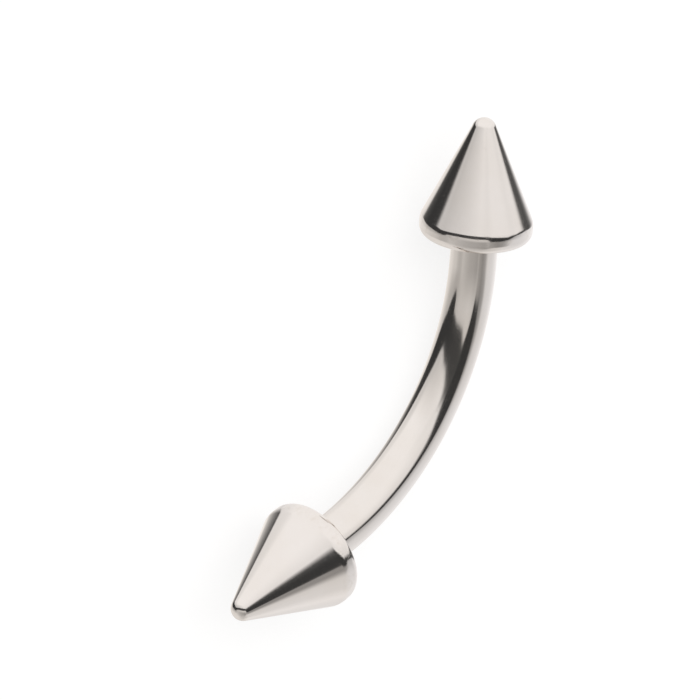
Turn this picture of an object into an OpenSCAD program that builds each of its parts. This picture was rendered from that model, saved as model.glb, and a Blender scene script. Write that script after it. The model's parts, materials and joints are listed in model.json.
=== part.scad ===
// Curved eyebrow barbell: a bent steel bar with a screw-in cone at each end.
// It lies as it would by itself, on the rims of both cones and the middle of its bar, with its bend
// tilted down. X runs from cone to cone, and the hollow side of the bend faces -Y.

/* [Bar] */
// Diameter of the bar
bar_d = 1.2; // [1.1:0.05:1.6]
// Straight distance between the centres of the bar's two end faces
bar_span = 8.9; // [7:0.1:12]
// Radius of the bend at the bar's centreline
bend_r = 6.7; // [6.2:0.1:9]
// Length of the straight stretch at each end of the bar
straight_len = 0.7; // [0.3:0.05:1.2]
// Radius of the rounded edge of each end face
bar_edge_r = 0.06; // [0.02:0.01:0.08]

/* [Cones] */
// Diameter of a cone at its rim
cone_d = 2.9; // [2.4:0.1:4]
// Height of a cone, from its flat underside to its tip
cone_h = 3.2; // [2.4:0.1:5]
// Radius of the rounded tip
tip_r = 0.32; // [0.15:0.01:0.5]
// Radius of the rounded edge between the underside and the rim band
rim_edge_r = 0.25; // [0.1:0.01:0.4]
// Height of the straight rim band above that edge
rim_band_h = 0.11; // [0.05:0.01:0.4]
// Radius of the soft corner between the rim band and the cone's side
shoulder_r = 0.45; // [0.05:0.01:0.5]

/* [Threaded posts] */
// Diameter over the crests of the thread
thread_d = 0.9; // [0.75:0.05:0.9]
// Depth of the thread
thread_depth = 0.12; // [0.06:0.01:0.14]
// Distance from one turn of the thread to the next
thread_pitch = 0.225; // [0.2:0.005:0.3]
// Length of a post, from the cone's underside to its end
post_len = 1.6; // [1.2:0.05:1.8]
// Length of the plain neck between the underside and the thread
neck_len = 0.2; // [0.1:0.01:0.4]
// Depth of the neck under the crests of the thread
neck_step = 0.04; // [0.02:0.01:0.05]
// Height and width of the bevel at the end of a post
post_bevel = 0.12; // [0.05:0.01:0.15]

/* [Fits] */
// Clearance between the crests of the thread and the wall of the bore
thread_clear = 0.02; // [0.01:0.005:0.05]
// Gap between a cone's underside and the bar's end face
seat_gap = 0.02; // [0.01:0.005:0.05]
// Free depth of the bore past the end of the post
bore_spare = 0.1; // [0.05:0.01:0.15]
// Width of the bevel at the mouth of the bore
mouth_bevel = 0.03; // [0.01:0.005:0.05]

/* [Hidden] */
$fn = 96;
STEEL = [0.86, 0.85, 0.83];
// Lap that makes touching shapes one solid
LAP = 0.0002;

bar_r = bar_d / 2;
cone_r = cone_d / 2;

// The end faces are at the chosen span when half the bend turns through this angle.
end_reach = norm([bend_r, straight_len]);
half_turn = asin(bar_span / 2 / end_reach) - atan2(straight_len, bend_r);
// Distance of the end faces from the centre of the bend, towards its crown
end_rise = bend_r * cos(half_turn) - straight_len * sin(half_turn);

// Profile of a cone: x is the distance from its axis, y the height above its underside.
shoulder_c = [cone_r - shoulder_r, rim_edge_r + rim_band_h];
tip_c = [0, cone_h - tip_r];
edge_c = [cone_r - rim_edge_r, rim_edge_r];
// Direction at right angles to the side, which touches the shoulder's circle and the tip's circle
side_run = tip_c - shoulder_c;
side_turn = atan2(side_run[1], side_run[0]) + asin((shoulder_r - tip_r) / norm(side_run)) - 90;
side_out = [cos(side_turn), sin(side_turn)];

core_r = thread_d / 2 - thread_depth;
bore_r = thread_d / 2 + thread_clear;
bore_depth = post_len + bore_spare - seat_gap;
DRILL_POINT = 118;
point_h = bore_r / tan(DRILL_POINT / 2);

// Thread: widths of its crest and root as shares of the pitch, and the steps that it is drawn in
CREST_SHARE = 0.2;
ROOT_SHARE = 0.25;
TURN_STEPS = 24;
PITCH_STEPS = 8;
thread_rows = ceil(PITCH_STEPS * (post_len - neck_len) / thread_pitch);

// Resting tilt: the crown of the bend comes down until the bar's middle and both rims touch the surface.
// With q the tilt's sine, the bar's middle reaches bend_r * q + bar_r below the centre of the bend, and a
// rim reaches rim_rise * q + edge_c[0] * sqrt(1 - (sin(half_turn) * q)^2) + rim_edge_r.
rim_rise = end_rise - (seat_gap + rim_edge_r) * sin(half_turn);
drop_run = bend_r - rim_rise;
drop_gap = rim_edge_r - bar_r;
lean = edge_c[0] * sin(half_turn);
tilt_root = pow(drop_run * drop_gap, 2)
    - (pow(drop_run, 2) + pow(lean, 2)) * (pow(drop_gap, 2) - pow(edge_c[0], 2));
tilt = asin((drop_run * drop_gap + sqrt(tilt_root)) / (pow(drop_run, 2) + pow(lean, 2)));

// Extent in Y after the tilt, for centring: the crown at the back, a tip or a rim at the front
back_y = bend_r * cos(tilt) + bar_r;
axis_y = sin(half_turn) * cos(tilt);
tip_y = (end_rise - (seat_gap + tip_c[1]) * sin(half_turn)) * cos(tilt) - tip_r;
shoulder_rise = end_rise - (seat_gap + shoulder_c[1]) * sin(half_turn);
rim_y = shoulder_rise * cos(tilt) - shoulder_c[0] * sqrt(1 - pow(axis_y, 2)) - shoulder_r;
front_y = min(tip_y, rim_y);
rest_z = bend_r * sin(tilt) + bar_r;

// Moves a piece from the frame of the bend to where it lies at rest.
// The bend's centre is at the origin of that frame, its crown at +Y and its ends at either side in X.
module at_rest() {
    translate([0, -(back_y + front_y) / 2, rest_z])
        rotate([-tilt, 0, 0])
            children();
}

// Puts a piece that is drawn along +Z, from 0, on the bar's end face at one side, pointing outwards.
// It turns about the centre of the bend, so that an end lines up with the bent stretch.
module on_end(side) {
    rotate([0, 0, 90 - side * half_turn])
        translate([bend_r, 0, 0])
            rotate([side * 90, 0, 0])
                translate([0, 0, straight_len])
                    children();
}

// One straight end of the bar, from the end face inwards, with its rounded edge
module straight_end() {
    rotate_extrude() {
        translate([0, -straight_len - LAP])
            square([bar_r, straight_len + LAP - bar_edge_r]);
        translate([0, -bar_edge_r])
            square([bar_r - bar_edge_r, bar_edge_r]);
        translate([bar_r - bar_edge_r, -bar_edge_r])
            circle(bar_edge_r + LAP);
    }
}

// Blind tapped hole with a drilled point and a bevelled mouth, drawn at the clear size of its thread
module bore() {
    rotate_extrude()
        polygon([
            [0, -bore_depth - point_h],
            [bore_r, -bore_depth],
            [bore_r, -mouth_bevel],
            [bore_r + mouth_bevel, 0],
            [bore_r + mouth_bevel, seat_gap],
            [0, seat_gap]
        ]);
}

module curved_bar() {
    color(STEEL)
        at_rest()
            difference() {
                union() {
                    rotate_extrude(start = 90 - half_turn, angle = 2 * half_turn)
                        translate([bend_r, 0])
                            circle(bar_r);
                    on_end(-1)
                        straight_end();
                    on_end(1)
                        straight_end();
                }
                on_end(-1)
                    bore();
                on_end(1)
                    bore();
            }
}

// Half of a cone's profile, from the axis outwards
module cone_profile() {
    polygon([
        [0, 0],
        [edge_c[0], 0],
        [cone_r, rim_edge_r],
        [cone_r, shoulder_c[1]],
        shoulder_c + shoulder_r * side_out,
        tip_c + tip_r * side_out,
        tip_c
    ]);
    translate(edge_c)
        circle(rim_edge_r + LAP);
    intersection() {
        translate(shoulder_c)
            circle(shoulder_r + LAP);
        translate([0, rim_edge_r])
            square(2 * cone_r);
    }
    intersection() {
        translate(tip_c)
            circle(tip_r + LAP);
        translate([0, tip_c[1] - tip_r])
            square(3 * tip_r);
    }
}

// Height of the thread at a share of its pitch, from 0 at its root to 1 at its crest
function tooth(share) =
    let (away = abs(2 * (share - floor(share)) - 1))
    max(0, min(1, (1 - ROOT_SHARE - away) / (1 - ROOT_SHARE - CREST_SHARE)));

// Radius of the threaded stretch at an angle and a depth below the underside.
// The thread rises over its first half turn, and the bevel cuts it back at the end of the post.
function thread_r(turn, depth) =
    let (
        rise = min(1, 2 * (depth - neck_len) / thread_pitch),
        bevel_r = thread_d / 2 - max(0, post_bevel - (post_len - depth))
    )
    min(bevel_r, core_r + thread_depth * max(0, rise) * tooth(depth / thread_pitch - turn / 360));

// Threaded stretch of a post, from inside the neck to the post's end
module threaded_stretch() {
    start = neck_len - LAP;
    depths = [for (i = [0 : thread_rows]) start + (post_len - start) * i / thread_rows];
    turns = [for (j = [0 : TURN_STEPS - 1]) 360 * j / TURN_STEPS];
    points = [for (d = depths, a = turns) [thread_r(a, d) * cos(a), -thread_r(a, d) * sin(a), -d]];
    last = TURN_STEPS * thread_rows;
    walls = [for (i = [0 : thread_rows - 1], j = [0 : TURN_STEPS - 1])
        let (a = TURN_STEPS * i + j, b = TURN_STEPS * i + (j + 1) % TURN_STEPS)
        each [[a, b + TURN_STEPS, b], [a, a + TURN_STEPS, b + TURN_STEPS]]];
    top = [for (j = [0 : TURN_STEPS - 1]) j];
    bottom = [for (j = [TURN_STEPS - 1 : -1 : 0]) last + j];
    polyhedron(points, concat(walls, [top, bottom]));
}

// A cone with its post, standing on its underside with the post pointing down
module cone_end() {
    color(STEEL) {
        rotate_extrude()
            cone_profile();
        translate([0, 0, -neck_len])
            cylinder(r = thread_d / 2 - neck_step, h = neck_len + rim_edge_r);
        threaded_stretch();
    }
}

module left_cone() {
    at_rest()
        on_end(-1)
            translate([0, 0, seat_gap])
                cone_end();
}

module right_cone() {
    at_rest()
        on_end(1)
            translate([0, 0, seat_gap])
                cone_end();
}

curved_bar();
left_cone();
right_cone();
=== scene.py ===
import json
import math

import bpy
import numpy as np
from mathutils import Matrix, Vector


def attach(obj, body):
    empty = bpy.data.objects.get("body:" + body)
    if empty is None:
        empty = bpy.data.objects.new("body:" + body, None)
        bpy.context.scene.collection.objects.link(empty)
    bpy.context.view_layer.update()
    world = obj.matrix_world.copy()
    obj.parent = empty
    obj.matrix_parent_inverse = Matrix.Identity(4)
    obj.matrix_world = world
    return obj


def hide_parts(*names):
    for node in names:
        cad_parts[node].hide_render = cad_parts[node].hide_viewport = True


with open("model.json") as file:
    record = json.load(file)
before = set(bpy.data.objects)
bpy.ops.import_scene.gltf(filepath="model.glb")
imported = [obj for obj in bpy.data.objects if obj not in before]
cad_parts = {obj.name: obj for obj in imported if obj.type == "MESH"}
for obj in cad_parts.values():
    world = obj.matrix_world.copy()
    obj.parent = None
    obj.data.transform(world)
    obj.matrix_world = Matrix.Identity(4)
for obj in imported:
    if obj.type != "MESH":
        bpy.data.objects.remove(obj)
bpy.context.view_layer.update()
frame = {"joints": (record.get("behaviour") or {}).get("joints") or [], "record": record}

MM = 0.001
MICRON = 0.000001

# Bar
BEND_R = 6.7 * MM
STRAIGHT_LEN = 0.7 * MM
BAR_EDGE_R = 0.06 * MM

# Cones
CONE_R = 1.45 * MM
CONE_H = 3.2 * MM
TIP_R = 0.32 * MM
RIM_EDGE_R = 0.25 * MM
RIM_BAND_H = 0.11 * MM
SHOULDER_R = 0.45 * MM

# Threaded posts. The widths of a thread's crest and root are shares of its pitch.
THREAD_R = 0.45 * MM
THREAD_DEPTH = 0.12 * MM
THREAD_PITCH = 0.225 * MM
CREST_SHARE = 0.2
ROOT_SHARE = 0.25
POST_LEN = 1.6 * MM
POST_BEVEL = 0.12 * MM
NECK_LEN = 0.2 * MM
NECK_STEP = 0.04 * MM
NECK_FILLET = 0.04 * MM

# Tapped bores that the posts sit in, and the gap between a cone's underside and the bar's end face
SEAT_GAP = 0.02 * MM
THREAD_CLEAR = 0.02 * MM
CLEAR_R = THREAD_R + THREAD_CLEAR
BORE_SPARE = 0.1 * MM
BORE_DEPTH = POST_LEN + BORE_SPARE - SEAT_GAP
MOUTH_BEVEL = 0.03 * MM
TAP_DEPTH = 0.06 * MM
DRILL_POINT = math.radians(118)

# How many times its full depth a thread would gain in one pitch, at its ends and at a bore's mouth
END_RISE = 2
MOUTH_RISE = 5

# Mesh density: rings and steps along the stretches of a profile, and round its axis
TURN_STEPS = 160
BEND_STEPS = 96
PITCH_STEPS = 12
SIDE_STEPS = 12
UNDERSIDE_STEPS = 6
STRAIGHT_STEPS = 6
POINT_STEPS = 3
SEAT_STEPS = 2
ARC_STEP = math.radians(7.5)
TURNS = np.arange(TURN_STEPS) * math.tau / TURN_STEPS

# Materials of a piece, by number
POLISHED = 0
MACHINED = 1

# Colours of the metal, as shares of the light that it returns
BAR_STEEL = (0.855, 0.82, 0.79)
BAR_TARNISH = (0.79, 0.735, 0.68)
CONE_STEEL = (0.865, 0.83, 0.805)
CONE_TARNISH = (0.80, 0.75, 0.70)
CUT_STEEL = (0.68, 0.65, 0.62)
# The last is not the metal's own colour: it is painted shade, partly grime, for hollows
DIRT_AND_SHADE = (0.10, 0.09, 0.08)

# How far the marks of wear reach from an edge, at what depth the painted shade on a bore's wall is full,
# and how far the painted shade, partly grime, on a cone's underside reaches out from the bar
WEAR_SPREAD = 0.14 * MM
BORE_SHADE = 0.8 * MM
SEAT_SHADE = 0.06 * MM

# How fine marks are along a piece's own axes, per millimetre, and how the hairlines are turned to them.
# The bar's polishing marks run along the bend, and a cone's run round its axis.
BAR_GRAIN = (15, 15, 0.8)
CONE_GRAIN = (1.2, 1.2, 26)
HAIR_GRAIN = (30, 30, 1.6)
HAIR_TURN = (0.5, 0.35, 0)
CROSS_GRAIN = (1.8, 34, 34)
CROSS_TURN = (0, 0.6, 0.9)

# Noises: how fine they are, per millimetre, their detail and, where it isn't the usual one, how rough
MARKS_NOISE = (1, 4, 0.6)
CLOUD_NOISE = (0.9, 3)
SWELL_NOISE = (0.7, 0)
PATCH_NOISE = (7, 3)
HAIR_NOISE = (1, 2)
RING_NOISE = (26, 4, 0.65)
COARSE_NOISE = (7, 1)
STAIN_NOISE = (3.5, 4)

# Values of a noise at which a mark begins and at which it is full
CLOUD_RANGE = (0.35, 0.7)
PATCH_RANGE = (0.5, 0.68)
HAIR_RANGE = (0.66, 0.74)
CROSS_RANGE = (0.68, 0.76)
STAIN_RANGE = (0.42, 0.72)

# Polished steel: its least roughness, and what each kind of mark adds to its tarnish, to its roughness
# and, in micrometres, to its relief
POLISHED_SMOOTHEST = 0.055
POLISHED_TARNISH = {"clouding": 0.35, "marks": 0.15, "scratches": 0.3, "worn": 0.5}
POLISHED_ROUGHNESS = {"cloud": 0.05, "marks": 0.04, "scratches": 0.1, "worn": 0.16}
POLISHED_RELIEF = {"swell": 5, "marks": 0.1, "scratches": -0.12, "worn": -0.5}

# Machined steel, in the same way. Its rings drift a little across the axis, and the painted shade in its
# hollows, partly grime, stays even where there are no stains.
CUT_SMOOTHEST = 0.15
CUT_DARKNESS = {"stains": 0.12, "rings": 0.12, "dirt_and_shade": 0.75}
CUT_ROUGHNESS = {"stains": 0.08, "rings": 0.1, "shade_and_dirt_mask": 0.15}
CUT_RELIEF = {"rings": 1.6, "coarse": 3, "stains": -0.2}
RING_DRIFT = 0.02
LEAST_DIRT_AND_SHADE = 0.75

# The studio that the polished steel reflects, by direction. An angle goes round the camera's upward
# axis, in degrees, with 0 from the jewel to the camera and 90 to the photo's right. A height is in degrees
# above the photo's horizon. A dark gap lies between the soft box above and the pale table below.
# The numbers of both tables were typed after the photo's brightness where the steel reflects each
# direction, and then changed in many tries that brought the steel nearer to the photo. They fit that view
# alone.
# Gap: angle, heights of its lower and upper edges, how dark it is, and how many degrees its upper edge
# takes to fade.
GAP = (
    (-180, 6, 18, 0, 2.5),
    (-170, 8, 24, 0.07, 2.5),
    (-158, 12, 30, 0.28, 2.5),
    (-150, 15, 34, 0.46, 2.5),
    (-140, 17.2, 36.2, 0.7, 2.5),
    (-128, 14.6, 35.4, 0.95, 2.5),
    (-112, 7, 32.2, 1, 2.5),
    (-98, 2, 26.5, 1, 2.5),
    (-84, -8, 20, 1, 5),
    (-79, -11.5, 17.2, 1, 5),
    (-73, -14.5, 11.2, 1, 5),
    (-67, -14, 8.5, 1, 2.5),
    (-61, -9, 7.5, 1, 2.5),
    (-35, -12.5, 6, 0.99, 2.5),
    (-16, -17, 2.2, 0.98, 2.5),
    (0, -20, 0, 0.98, 2.5),
    (16, -20, -2.2, 0.98, 6),
    (24, -20.5, -2.2, 0.97, 10),
    (30, -27, -4.8, 0.97, 8),
    (34, -34, -6, 1, 6),
    (45, -32.2, -6.6, 1, 4),
    (57, -31.2, -8, 1, 3),
    (68, -26, -8.2, 1, 9),
    (77, -19, -1.5, 1, 9),
    (86, -6.5, 0.4, 1, 4),
    (94, -3.5, 6, 0.98, 4),
    (104, 0, 9.4, 0.98, 6),
    (114, 3.5, 13.6, 0.94, 4),
    (128, 4, 16, 0.95, 2.5),
    (138, 4, 16.5, 0.86, 2.5),
    (158, 4, 17, 0.12, 2.5),
    (180, 6, 18, 0, 2.5),
)
# Brightness: angle, just above the gap, just below it, well below it. It is 1 well above the gap.
PANELS = (
    (-180, 0.95, 1.0, 0.79),
    (-150, 0.86, 0.95, 0.80),
    (-130, 0.86, 0.74, 0.84),
    (-110, 0.84, 0.54, 0.83),
    (-85, 0.68, 0.47, 0.78),
    (-65, 0.60, 0.50, 0.64),
    (-45, 0.69, 0.62, 0.52),
    (-20, 0.78, 0.64, 0.44),
    (10, 0.90, 0.68, 0.38),
    (24, 0.87, 0.66, 0.34),
    (36, 0.90, 0.38, 0.36),
    (55, 0.88, 0.29, 0.75),
    (72, 0.84, 0.35, 0.74),
    (90, 0.90, 0.56, 0.78),
    (110, 0.94, 0.78, 0.80),
    (130, 0.97, 0.90, 0.87),
    (150, 1.0, 1.0, 0.93),
    (180, 0.95, 1.0, 0.79),
)
# The most degrees that an upper edge of the gap may take in the table, and what its lower edge takes
SOFTEST_DEG = 10
LOWER_EDGE_DEG = 2.5
# Degrees from the gap at which the light above it and the light below it begin and end their change
BOX_FADE = (5, 33)
TABLE_FADE = (6, 26)
# Brightness straight below, and the heights between which the table fades to it
NADIR = 0.6
NADIR_FADE = (-50, -90)
# Colours of the studio's light. The table's turns cool on one side, as the cosine of the angle to that
# side grows from one value of COOL_FADE to the other.
GAP_DARK = (0.042, 0.042, 0.042)
BOX_TINT = (1.0, 0.978, 0.963)
TABLE_TINT = (1.0, 0.966, 0.932)
TABLE_COOL = (0.985, 0.976, 0.985)
COOL_SIDE = math.radians(120)
COOL_FADE = (0.3, 0.9)
# What the camera itself sees in place of the studio
BACKDROP = (1.0, 1.0, 1.0)

# Camera, as fitted to the photo's outline. The photo is a square.
CAMERA_AIM = Vector((0.0585, -3.2751, 4.268)) * MM
CAMERA_AZIMUTH = math.radians(15.267)
CAMERA_ELEVATION = math.radians(63.038)
CAMERA_ROLL = math.radians(103.041)
CAMERA_DISTANCE = 400 * MM
SENSOR_WIDTH = 36
CLIP_START = CAMERA_DISTANCE / 10
CLIP_END = 10
PHOTO_SIDE_PX = 700
PX_PER_MM = 39.869

# Floor and light
FLOOR_SIDE = 4.0
FLOOR_WHITE = (0.3, 0.3, 0.3)
FLOOR_GLOW = 0.77
LIGHT_ANGLE = math.radians(70)
LIGHT_STRENGTH = 0.8

# Where the bend lies, from the axis of a post and the place on the bar that sits in a piercing
right_post = Vector(next(j["axis"] for j in frame["joints"] if j["name"] == "right_cone_out"))
half_turn = math.acos(right_post.x)
tilt = math.atan2(right_post.z, -right_post.y)
shaft = frame["record"]["mounts"][0]
bar_r = shaft["dims"]["r_mm"] * MM
lie = Matrix.Rotation(-tilt, 4, "X")
at_rest = Matrix.Translation(Vector(shaft["pos_m"]) - lie @ Vector((0, BEND_R, 0))) @ lie


def bar_place(angle, offset=0):
    """Frame on the bar's centreline, at an angle from its middle and then an offset straight on.

    Z runs along the bar from left to right, and X points away from the bend's centre.
    """
    away = Vector((math.sin(angle), math.cos(angle), 0))
    along = Vector((math.cos(angle), -math.sin(angle), 0))
    axes = Matrix((away, along.cross(away), along)).transposed().to_4x4()
    return at_rest @ Matrix.Translation(BEND_R * away + offset * along) @ axes


def line(start, end, steps=1):
    """Stations (radius, z, normal) along a straight stretch of a profile, with the metal on its left."""
    along = np.subtract(end, start)
    normal = np.array([along[1], -along[0]]) / np.hypot(*along)
    return [(*(start + along * i / steps), normal) for i in range(steps + 1)]


def arc(centre, radius, start, end):
    """Stations along a round stretch of a profile, from one angle to another."""
    steps = max(2, math.ceil(abs(end - start) / ARC_STEP))
    stations = []
    for angle in np.linspace(start, end, steps + 1):
        out = np.array([math.cos(angle), math.sin(angle)])
        stations.append((*(centre + radius * out), out if end > start else -out))
    return stations


def tooth(share):
    """Height of the thread at a share of its pitch, from 0 at its root to 1 at its crest."""
    away = np.abs(2 * (share - np.floor(share)) - 1)
    return np.clip((1 - ROOT_SHARE - away) / (1 - ROOT_SHARE - CREST_SHARE), 0, 1)


def build(name, sections, materials, edges, shade_and_dirt_mask):
    """One closed mesh of rings. A section is (number of its material, its stations).

    A station is (place, radius, z, normal). A place is (frame, how far its origin is along the
    piece's own axis). The radius may be an array, with a value for each step round the axis, and
    the normal may be None, for one that Blender works out. Neighbouring sections share the ring
    where they meet.
    The materials read three values of each point: its place in the piece's own axes, edge_wear,
    which is 1 at each of the edges (radius, z) and fades away from them, and a mask from the last
    argument, given (radius, z), which is 1 where shade is painted into hollows, along with some grime.
    """
    across = np.stack([np.cos(TURNS), np.sin(TURNS), 0 * TURNS], 1)
    up = np.array([0, 0, 1])
    points, own, faces, normals, slots = [], [], [], [], []

    def ring(station):
        """Add a station's points, or a single one on the axis, and return their numbers all round."""
        (place, along), radius, z, _ = station
        local = across * np.reshape(radius, (-1, 1)) + z * up
        if np.max(radius) == 0:
            local = local[:1]
        first = len(points)
        points.extend(place @ Vector(p) for p in local)
        own.extend(local + along * up)
        return first + np.arange(TURN_STEPS) % len(local)

    def facing(station):
        """Normals of a station, all round."""
        (place, _), _, _, normal = station
        if normal is None:
            return np.zeros((TURN_STEPS, 3))
        return (across * normal[0] + normal[1] * up) @ np.array(place.to_3x3()).T

    low = ring(sections[0][1][0])
    for slot, stations in sections:
        for before, after in zip(stations, stations[1:]):
            high = ring(after)
            low_side = facing(before)
            high_side = facing(after)
            corners = [low, np.roll(low, -1), np.roll(high, -1), high]
            sides = [low_side, np.roll(low_side, -1, 0), np.roll(high_side, -1, 0), high_side]
            # At a single point on the axis, the faces are triangles.
            if low[0] == low[1]:
                corners, sides = corners[1:], sides[1:]
            if high[0] == high[1]:
                corners, sides = corners[:-1], sides[:-1]
            faces.extend(np.stack(corners, 1).tolist())
            normals.extend(np.stack(sides, 1).reshape(-1, 3).tolist())
            slots.extend([slot] * TURN_STEPS)
            low = high

    mesh = bpy.data.meshes.new(name)
    mesh.from_pydata(points, [], faces)
    for material in materials:
        mesh.materials.append(material)
    mesh.polygons.foreach_set("material_index", slots)
    mesh.shade_smooth()
    mesh.normals_split_custom_set(normals)
    own = np.array(own)
    radius, z = np.hypot(own[:, 0], own[:, 1]), own[:, 2]
    wear = [np.exp(-((radius - r) ** 2 + (z - at) ** 2) / WEAR_SPREAD ** 2) for r, at in edges]
    mesh.attributes.new("own_axes", "FLOAT_VECTOR", "POINT").data.foreach_set("vector", own.ravel())
    mesh.attributes.new("edge_wear", "FLOAT", "POINT").data.foreach_set("value", np.max(wear, axis=0))
    # The mask of painted shade, partly grime: thread roots, deep in bores and the seat under the bar
    mesh.attributes.new("shade_and_dirt_mask", "FLOAT", "POINT").data.foreach_set("value", shade_and_dirt_mask(radius, z))
    piece = bpy.data.objects.new(name, mesh)
    bpy.context.scene.collection.objects.link(piece)
    return piece


def post_r(depth):
    """Radius of a post's threaded stretch, all round, at a depth below the underside."""
    rise = min(1, END_RISE * (depth - NECK_LEN) / THREAD_PITCH)
    bevel_r = THREAD_R - max(0, POST_BEVEL - (POST_LEN - depth))
    crest = THREAD_DEPTH * max(0, rise) * tooth(depth / THREAD_PITCH + TURNS / math.tau)
    return np.minimum(bevel_r, THREAD_R - THREAD_DEPTH + crest)


def cone_piece(name, side, materials):
    """A cone with its threaded post, from the post's end up to the tip."""
    angle = side * half_turn
    place = bar_place(angle, side * (STRAIGHT_LEN + SEAT_GAP))
    if side < 0:
        place = place @ Matrix.Rotation(math.pi, 4, "X")

    def shade_and_dirt_mask(radius, z):
        """Painted shade, partly grime, in the roots of the thread, and on the underside over the bar's end
        face.
        """
        threaded = (z > POST_BEVEL - POST_LEN) & (z < -NECK_LEN)
        root = threaded * np.clip((THREAD_R - radius) / THREAD_DEPTH, 0, 1)
        seat = (z > -NECK_FILLET) & (z <= 0)
        return np.maximum(root, seat * np.clip((bar_r + SEAT_SHADE - radius) / SEAT_SHADE, 0, 1))

    edge = np.array([CONE_R - RIM_EDGE_R, RIM_EDGE_R])
    shoulder = np.array([CONE_R - SHOULDER_R, RIM_EDGE_R + RIM_BAND_H])
    tip = np.array([0, CONE_H - TIP_R])
    run = tip - shoulder
    lean = math.atan2(run[1], run[0]) + math.asin((SHOULDER_R - TIP_R) / np.hypot(*run)) - math.pi / 2
    side_out = np.array([math.cos(lean), math.sin(lean)])
    neck_r = THREAD_R - NECK_STEP
    fillet = np.array([neck_r + NECK_FILLET, -NECK_FILLET])
    rows = math.ceil(PITCH_STEPS * (POST_LEN - NECK_LEN) / THREAD_PITCH)
    profile = [
        (MACHINED, line((0, -POST_LEN), (THREAD_R - POST_BEVEL, -POST_LEN), POINT_STEPS)),
        (MACHINED, [(post_r(d), -d, None) for d in np.linspace(POST_LEN, NECK_LEN, rows + 1)]),
        (MACHINED, line((THREAD_R - THREAD_DEPTH, -NECK_LEN), (neck_r, -NECK_LEN))),
        (MACHINED, line((neck_r, -NECK_LEN), (neck_r, -NECK_FILLET))),
        (MACHINED, arc(fillet, NECK_FILLET, math.pi, math.pi / 2)),
        (MACHINED, line((fillet[0], 0), (bar_r, 0), SEAT_STEPS)),
        # A ring of the underside over which the painted shade of the seat fades out
        (MACHINED, line((bar_r, 0), (bar_r + SEAT_SHADE, 0))),
        (MACHINED, line((bar_r + SEAT_SHADE, 0), (edge[0], 0), UNDERSIDE_STEPS)),
        (POLISHED, arc(edge, RIM_EDGE_R, -math.pi / 2, 0)),
        (POLISHED, line((CONE_R, edge[1]), (CONE_R, shoulder[1]))),
        (POLISHED, arc(shoulder, SHOULDER_R, 0, lean)),
        (POLISHED, line(shoulder + SHOULDER_R * side_out, tip + TIP_R * side_out, SIDE_STEPS)),
        (POLISHED, arc(tip, TIP_R, lean, math.pi / 2)),
    ]
    # The last station is exactly on the axis, so that it makes a single point.
    tip_arc = profile[-1][1]
    tip_arc[-1] = (0, CONE_H, tip_arc[-1][2])
    sections = [(slot, [((place, 0), *station) for station in stations]) for slot, stations in profile]
    edges = [(CONE_R, shoulder[1]), (CONE_R, 0), (0, CONE_H)]
    return build(name, sections, materials, edges, shade_and_dirt_mask)


def bore_r(depth, side):
    """Radius of the tapped bore at one side, all round, at a depth below the end face."""
    to_end = END_RISE * (BORE_DEPTH - THREAD_PITCH - depth) / THREAD_PITCH
    to_mouth = MOUTH_RISE * (depth - MOUTH_BEVEL) / THREAD_PITCH
    share = (depth + SEAT_GAP) / THREAD_PITCH + side * TURNS / math.tau
    return CLEAR_R + TAP_DEPTH * max(0, min(1, to_end, to_mouth)) * tooth(share)


def bar_end(side):
    """Sections of one end of the bar, from the point of its bore to the straight stretch.

    Both ends are given as on the left, where z is the depth below the end face.
    """
    rows = math.ceil(PITCH_STEPS * (BORE_DEPTH - MOUTH_BEVEL) / THREAD_PITCH)
    point_h = CLEAR_R / math.tan(DRILL_POINT / 2)
    edge = np.array([bar_r - BAR_EDGE_R, BAR_EDGE_R])
    return [
        (MACHINED, line((0, BORE_DEPTH + point_h), (CLEAR_R, BORE_DEPTH), POINT_STEPS)),
        (MACHINED, [(bore_r(d, side), d, None) for d in np.linspace(BORE_DEPTH, MOUTH_BEVEL, rows + 1)]),
        (MACHINED, line((CLEAR_R, MOUTH_BEVEL), (CLEAR_R + MOUTH_BEVEL, 0))),
        (MACHINED, line((CLEAR_R + MOUTH_BEVEL, 0), (edge[0], 0))),
        (POLISHED, arc(edge, BAR_EDGE_R, -math.pi / 2, 0)),
        (POLISHED, line((bar_r, BAR_EDGE_R), (bar_r, STRAIGHT_LEN), STRAIGHT_STEPS)),
    ]


def bar_piece(name, materials):
    """The bent bar, from the point of the left bore round to the point of the right one."""
    reach = BEND_R * half_turn + STRAIGHT_LEN
    left = (bar_place(-half_turn, -STRAIGHT_LEN), -reach)
    right = (bar_place(half_turn, STRAIGHT_LEN), reach)

    def shade_and_dirt_mask(radius, z):
        """Painted shade, partly grime, on the wall of a bore, which grows with the depth."""
        bored = radius < CLEAR_R + TAP_DEPTH
        return bored * np.clip((reach - np.abs(z)) / BORE_SHADE, 0, 1)

    sections = [(slot, [(left, *station) for station in stations]) for slot, stations in bar_end(-1)]
    angles = np.linspace(-half_turn, half_turn, BEND_STEPS + 1)
    bend = [((bar_place(angle), BEND_R * angle), bar_r, 0, (1, 0)) for angle in angles]
    sections.append((POLISHED, bend))
    for slot, stations in reversed(bar_end(1)):
        mirrored = [(right, r, -z, n if n is None else (n[0], -n[1])) for r, z, n in reversed(stations)]
        sections.append((slot, mirrored))
    return build(name, sections, materials, [(bar_r, -reach), (bar_r, reach)], shade_and_dirt_mask)


def make(tree, kind, *values, **settings):
    """A shader node with its settings and, in order, its inputs: a socket to link, a value, or None."""
    node = tree.nodes.new(kind)
    for key, value in settings.items():
        setattr(node, key, value)
    for socket, value in zip(node.inputs, values):
        if isinstance(value, bpy.types.NodeSocket):
            tree.links.new(value, socket)
        elif value is not None:
            socket.default_value = value
    return node


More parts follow.
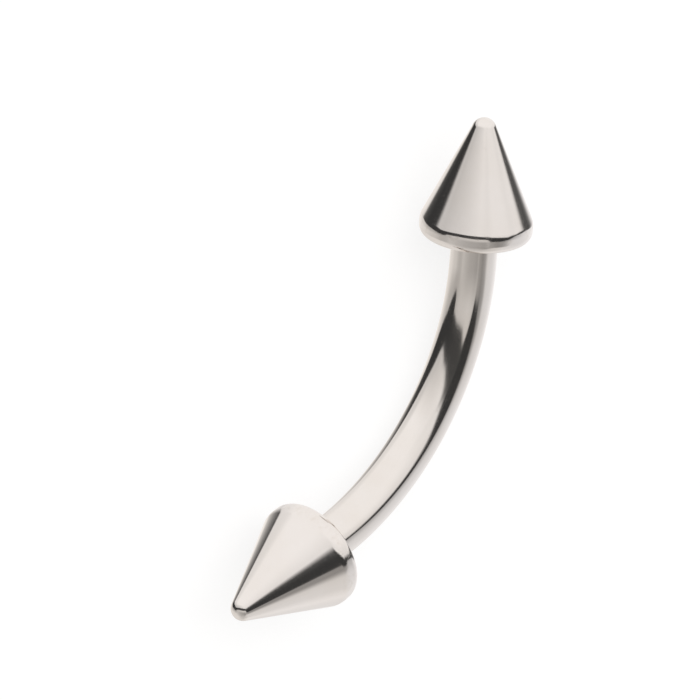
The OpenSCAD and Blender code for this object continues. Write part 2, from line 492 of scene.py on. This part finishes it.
def calc(tree, operation, *values):
    """The result of a math node."""
    return make(tree, "ShaderNodeMath", *values, operation=operation).outputs[0]


def remap(tree, value, start, end, low=0, high=1, smooth=False):
    """A value carried from one range to another, and kept inside it."""
    kind = "SMOOTHSTEP" if smooth else "LINEAR"
    node = make(tree, "ShaderNodeMapRange", value, start, end, low, high, interpolation_type=kind)
    return node.outputs[0]


def blend(tree, factor, first, second):
    """One colour turning into another."""
    node = make(tree, "ShaderNodeMix", factor, data_type="RGBA")
    ends = [socket for socket in node.inputs if socket.type == "RGBA"]
    for socket, value in zip(ends, (first, second)):
        if isinstance(value, bpy.types.NodeSocket):
            tree.links.new(value, socket)
        else:
            socket.default_value = (*value, 1)
    return next(socket for socket in node.outputs if socket.type == "RGBA")


def dim(tree, colour, amount):
    """A colour times an amount."""
    node = make(tree, "ShaderNodeVectorMath", colour, None, None, amount, operation="SCALE")
    return node.outputs[0]


def ramp(tree, factor, rows):
    """Four values that follow a factor from 0 to 1. A row is (factor, value, value, value, value)."""
    node = make(tree, "ShaderNodeValToRGB", factor)
    stops = node.color_ramp.elements
    stops[0].position = rows[0][0]
    stops[1].position = rows[-1][0]
    for place, *_ in rows[1:-1]:
        stops.new(place)
    for stop, (_, *values) in zip(stops, rows):
        stop.color = values
    return *make(tree, "ShaderNodeSeparateColor", node.outputs["Color"]).outputs, node.outputs["Alpha"]


def noise(tree, place, scale, detail=2, roughness=0.5):
    """Noise from 0 to 1, at a place in millimetres."""
    return make(tree, "ShaderNodeTexNoise", place, None, scale, detail, roughness).outputs[0]


def stretch(tree, place, scale, turn=(0, 0, 0)):
    """A place turned and then scaled along its axes."""
    turned = make(tree, "ShaderNodeMapping", place, None, turn).outputs[0]
    return make(tree, "ShaderNodeVectorMath", turned, scale, operation="MULTIPLY").outputs[0]


def weigh(tree, start, values, weights):
    """A number plus the sum of the named values, each times its weight."""
    total = start
    for name, weight in weights.items():
        node = make(tree, "ShaderNodeMath", values[name], weight, total, operation="MULTIPLY_ADD")
        total = node.outputs[0]
    return total


def point_value(tree, name):
    """A value that the mesh holds for each point."""
    return make(tree, "ShaderNodeAttribute", attribute_name=name).outputs["Fac"]


def metal(name):
    """A new metal material, its tree, its shader and the place in the piece's axes, in millimetres."""
    material = bpy.data.materials.new(name)
    material.use_nodes = True
    tree = material.node_tree
    shader = tree.nodes["Principled BSDF"]
    shader.inputs["Metallic"].default_value = 1
    own = make(tree, "ShaderNodeAttribute", attribute_name="own_axes").outputs["Vector"]
    return material, tree, shader, stretch(tree, own, (1 / MM,) * 3)


def finish(tree, shader, colour, roughness, height):
    """Link a metal's colour, roughness and relief, which is in micrometres."""
    bump = tree.nodes.new("ShaderNodeBump")
    bump.inputs["Distance"].default_value = MICRON
    tree.links.new(height, bump.inputs["Height"])
    tree.links.new(bump.outputs[0], shader.inputs["Normal"])
    tree.links.new(colour, shader.inputs["Base Color"])
    tree.links.new(roughness, shader.inputs["Roughness"])


def polished_steel(name, colour, tarnish, grain):
    """Mirror-polished steel, with clouds, polishing marks, hairlines and worn edges."""
    material, tree, shader, place = metal(name)
    marks = noise(tree, stretch(tree, place, grain), *MARKS_NOISE)
    cloud = noise(tree, place, *CLOUD_NOISE)
    swell = noise(tree, place, *SWELL_NOISE)
    patches = remap(tree, noise(tree, place, *PATCH_NOISE), *PATCH_RANGE)
    hairs = noise(tree, stretch(tree, place, HAIR_GRAIN, HAIR_TURN), *HAIR_NOISE)
    cross = noise(tree, stretch(tree, place, CROSS_GRAIN, CROSS_TURN), *HAIR_NOISE)
    hairs = remap(tree, hairs, *HAIR_RANGE)
    cross = remap(tree, cross, *CROSS_RANGE)
    values = {
        "cloud": cloud,
        "clouding": remap(tree, cloud, *CLOUD_RANGE),
        "swell": swell,
        "marks": marks,
        "scratches": calc(tree, "MAXIMUM", hairs, cross),
        "worn": calc(tree, "MULTIPLY", point_value(tree, "edge_wear"), patches),
    }
    tint = weigh(tree, 0, values, POLISHED_TARNISH)
    roughness = weigh(tree, POLISHED_SMOOTHEST, values, POLISHED_ROUGHNESS)
    height = weigh(tree, 0, values, POLISHED_RELIEF)
    finish(tree, shader, blend(tree, tint, colour, tarnish), roughness, height)
    return material


def machined_steel():
    """Steel as it left the lathe, with rings round its axis, and painted shade, partly grime, in the roots
    of its threads and other hollows.
    """
    material, tree, shader, place = metal("machined_steel")
    flat = stretch(tree, place, (1, 1, 0))
    radius = make(tree, "ShaderNodeVectorMath", flat, operation="LENGTH").outputs["Value"]
    x, _, z = make(tree, "ShaderNodeSeparateXYZ", place).outputs
    drift = calc(tree, "MULTIPLY", x, RING_DRIFT)
    turned = make(tree, "ShaderNodeCombineXYZ", radius, z, drift).outputs[0]
    stains = remap(tree, noise(tree, place, *STAIN_NOISE), *STAIN_RANGE)
    shade_and_dirt_mask = point_value(tree, "shade_and_dirt_mask")
    values = {
        "rings": noise(tree, turned, *RING_NOISE),
        "coarse": noise(tree, turned, *COARSE_NOISE),
        "stains": stains,
        "shade_and_dirt_mask": shade_and_dirt_mask,
        # Painted shade in hollows, partly grime, a little lighter where there are no stains
        "dirt_and_shade": calc(tree, "MULTIPLY", shade_and_dirt_mask, remap(tree, stains, 0, 1, LEAST_DIRT_AND_SHADE, 1)),
    }
    tint = weigh(tree, 0, values, CUT_DARKNESS)
    roughness = weigh(tree, CUT_SMOOTHEST, values, CUT_ROUGHNESS)
    height = weigh(tree, 0, values, CUT_RELIEF)
    finish(tree, shader, blend(tree, tint, CUT_STEEL, DIRT_AND_SHADE), roughness, height)
    return material


def angle_share(angle):
    """Where an angle lies between -180 and 180 degrees, from 0 to 1."""
    return (angle + 180) / 360


def height_share(height):
    """Where a height lies between -90 and 90 degrees, from 0 to 1."""
    return (height + 90) / 180


def add_studio():
    """The world: a soft box above, a dark gap and a pale table, by direction, and a plain backdrop."""
    world = bpy.data.worlds.new("studio")
    bpy.context.scene.world = world
    world.use_nodes = True
    tree = world.node_tree
    direction = make(tree, "ShaderNodeTexCoord").outputs["Generated"]
    turn = bpy.context.scene.camera.matrix_world.to_3x3().inverted().to_euler()
    own = make(tree, "ShaderNodeMapping", direction, None, turn, vector_type="VECTOR").outputs[0]
    right, up, back = make(tree, "ShaderNodeSeparateXYZ", own).outputs
    share = remap(tree, calc(tree, "ARCTAN2", right, back), -math.pi, math.pi)
    height = calc(tree, "DEGREES", calc(tree, "ARCSINE", up))

    # A ramp holds values from 0 to 1, so the gap's table goes in as shares and comes out as degrees.
    gap_rows = []
    for angle, low, high, dark, soft in GAP:
        edges = (height_share(low), height_share(high))
        gap_rows.append((angle_share(angle), *edges, dark, soft / SOFTEST_DEG))
    low, high, dark, soft = ramp(tree, share, gap_rows)
    low = remap(tree, low, 0, 1, -90, 90)
    high = remap(tree, high, 0, 1, -90, 90)
    half_soft = calc(tree, "MULTIPLY", soft, SOFTEST_DEG / 2)
    panel_rows = [(angle_share(angle), *values, 1) for angle, *values in PANELS]
    near, under, table, _ = ramp(tree, share, panel_rows)

    above = calc(tree, "SUBTRACT", height, high)
    below = calc(tree, "SUBTRACT", low, height)
    box = remap(tree, above, *BOX_FADE, near, 1, smooth=True)
    table = remap(tree, below, *TABLE_FADE, under, table, smooth=True)
    table = remap(tree, height, *NADIR_FADE, table, NADIR, smooth=True)
    towards_cool = {"right": math.sin(COOL_SIDE), "back": math.cos(COOL_SIDE)}
    aside = weigh(tree, 0, {"right": right, "back": back}, towards_cool)
    tint = blend(tree, remap(tree, aside, *COOL_FADE), TABLE_TINT, TABLE_COOL)
    upper = remap(tree, height, low, high, smooth=True)
    light = blend(tree, upper, dim(tree, tint, table), dim(tree, BOX_TINT, box))

    under_edge = remap(tree, above, calc(tree, "MULTIPLY", half_soft, -1), half_soft, 1, 0, smooth=True)
    over_edge = remap(tree, below, -LOWER_EDGE_DEG / 2, LOWER_EDGE_DEG / 2, 1, 0, smooth=True)
    shade = calc(tree, "MULTIPLY", calc(tree, "MULTIPLY", under_edge, over_edge), dark)
    studio = blend(tree, shade, light, GAP_DARK)
    seen = make(tree, "ShaderNodeLightPath").outputs["Is Camera Ray"]
    tree.links.new(blend(tree, seen, studio, BACKDROP), tree.nodes["Background"].inputs["Color"])


def add_floor():
    """A plain pale floor, lit from inside like a light table, so that shadows on it are faint.

    The photo shows no floor in the steel, so reflections don't meet it.
    """
    side = FLOOR_SIDE / 2
    corners = [(-side, -side, 0), (side, -side, 0), (side, side, 0), (-side, side, 0)]
    mesh = bpy.data.meshes.new("floor")
    mesh.from_pydata(corners, [], [(0, 1, 2, 3)])
    material = bpy.data.materials.new("floor_white")
    material.use_nodes = True
    shader = material.node_tree.nodes["Principled BSDF"]
    shader.inputs["Base Color"].default_value = (*FLOOR_WHITE, 1)
    shader.inputs["Roughness"].default_value = 1
    shader.inputs["Specular IOR Level"].default_value = 0
    shader.inputs["Emission Color"].default_value = (1, 1, 1, 1)
    shader.inputs["Emission Strength"].default_value = FLOOR_GLOW
    mesh.materials.append(material)
    floor = bpy.data.objects.new("floor", mesh)
    floor.visible_glossy = False
    bpy.context.scene.collection.objects.link(floor)


def add_light():
    """One wide soft light from overhead, for the floor's faint shadows."""
    data = bpy.data.lights.new("soft_box", "SUN")
    data.angle = LIGHT_ANGLE
    data.energy = LIGHT_STRENGTH
    light = bpy.data.objects.new("soft_box", data)
    light.visible_glossy = False
    bpy.context.scene.collection.objects.link(light)


def add_camera():
    """The camera at the photo's angle and framing."""
    data = bpy.data.cameras.new("camera")
    data.sensor_width = SENSOR_WIDTH
    data.lens = SENSOR_WIDTH * PX_PER_MM / MM * CAMERA_DISTANCE / PHOTO_SIDE_PX
    data.clip_start = CLIP_START
    data.clip_end = CLIP_END
    camera = bpy.data.objects.new("camera", data)
    swing = Matrix.Rotation(CAMERA_AZIMUTH, 4, "Z")
    lift = Matrix.Rotation(math.pi / 2 - CAMERA_ELEVATION, 4, "X")
    back_off = Matrix.Rotation(CAMERA_ROLL, 4, "Z") @ Matrix.Translation((0, 0, CAMERA_DISTANCE))
    camera.matrix_world = Matrix.Translation(CAMERA_AIM) @ swing @ lift @ back_off
    bpy.context.scene.collection.objects.link(camera)
    bpy.context.scene.camera = camera


bpy.context.scene.view_settings.view_transform = "Standard"
add_camera()
bar_steel = polished_steel("bar_steel", BAR_STEEL, BAR_TARNISH, BAR_GRAIN)
cone_steel = polished_steel("cone_steel", CONE_STEEL, CONE_TARNISH, CONE_GRAIN)
cut_steel = machined_steel()

bar = bar_piece("polished_bar", [bar_steel, cut_steel])
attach(bar, "bar")
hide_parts("curved_bar")
for side, body in ((-1, "left_end"), (1, "right_end")):
    node = "left_cone" if side < 0 else "right_cone"
    cone = cone_piece("polished_" + node, side, [cone_steel, cut_steel])
    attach(cone, body)
    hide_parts(node)

add_studio()
add_floor()
add_light()
